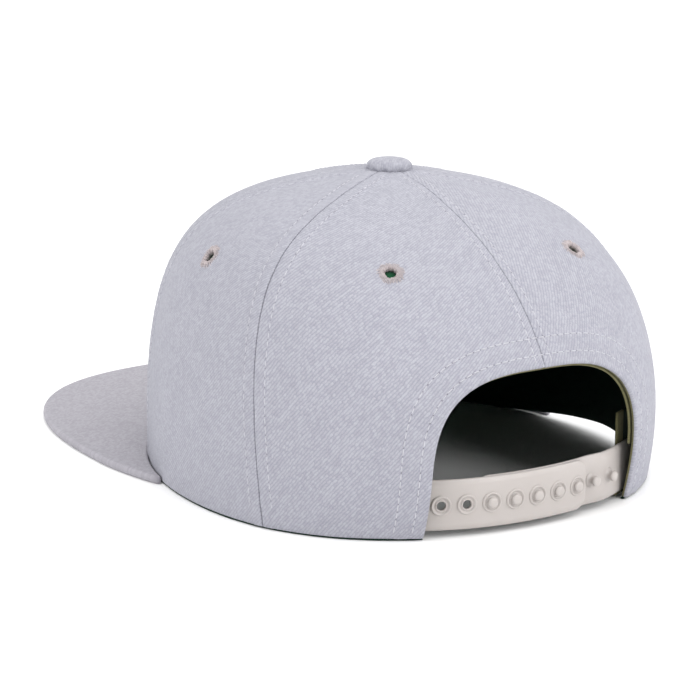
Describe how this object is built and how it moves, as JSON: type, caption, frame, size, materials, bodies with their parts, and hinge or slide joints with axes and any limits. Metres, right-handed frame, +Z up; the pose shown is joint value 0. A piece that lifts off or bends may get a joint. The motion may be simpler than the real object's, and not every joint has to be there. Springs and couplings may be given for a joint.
{
  "type": "snapback cap",
  "caption": "Panelled snapback cap with a flat visor, covered button, vent eyelets, sweatband and a peg-and-hole plastic strap closed across the rear arch.",
  "frame": {"origin": "on the surface that the cap rests on, below the middle of its length and width", "axes": "+Z is up, the visor points along -Y, and the wearer's left is +X"},
  "size_m": [0.1916, 0.2678, 0.1162],
  "materials": {
    "cap_cloth": "heathered pale grey wool twill",
    "visor_cloth": "heathered pale grey wool over board, dark green cotton below",
    "eyelet_thread": "pinkish beige embroidery thread",
    "sweatband_cotton": "dark green cotton twill",
    "facing_tape": "olive cotton tape",
    "strap_plastic": "satin warm grey moulded plastic"
  },
  "bodies": {
    "root": {"panel_front_left": "cap_cloth", "panel_front_right": "cap_cloth", "panel_side_left": "cap_cloth", "panel_side_right": "cap_cloth", "panel_rear_left": "cap_cloth", "panel_rear_right": "cap_cloth", "button": "cap_cloth", "visor": "visor_cloth", "eyelet_front_left": "eyelet_thread", "eyelet_front_right": "eyelet_thread", "eyelet_side_left": "eyelet_thread", "eyelet_side_right": "eyelet_thread", "eyelet_rear_left": "eyelet_thread", "eyelet_rear_right": "eyelet_thread", "sweatband": "sweatband_cotton", "arch_facing": "facing_tape", "strap_left": "strap_plastic", "strap_right": "strap_plastic"}
  },
  "joints": []
}
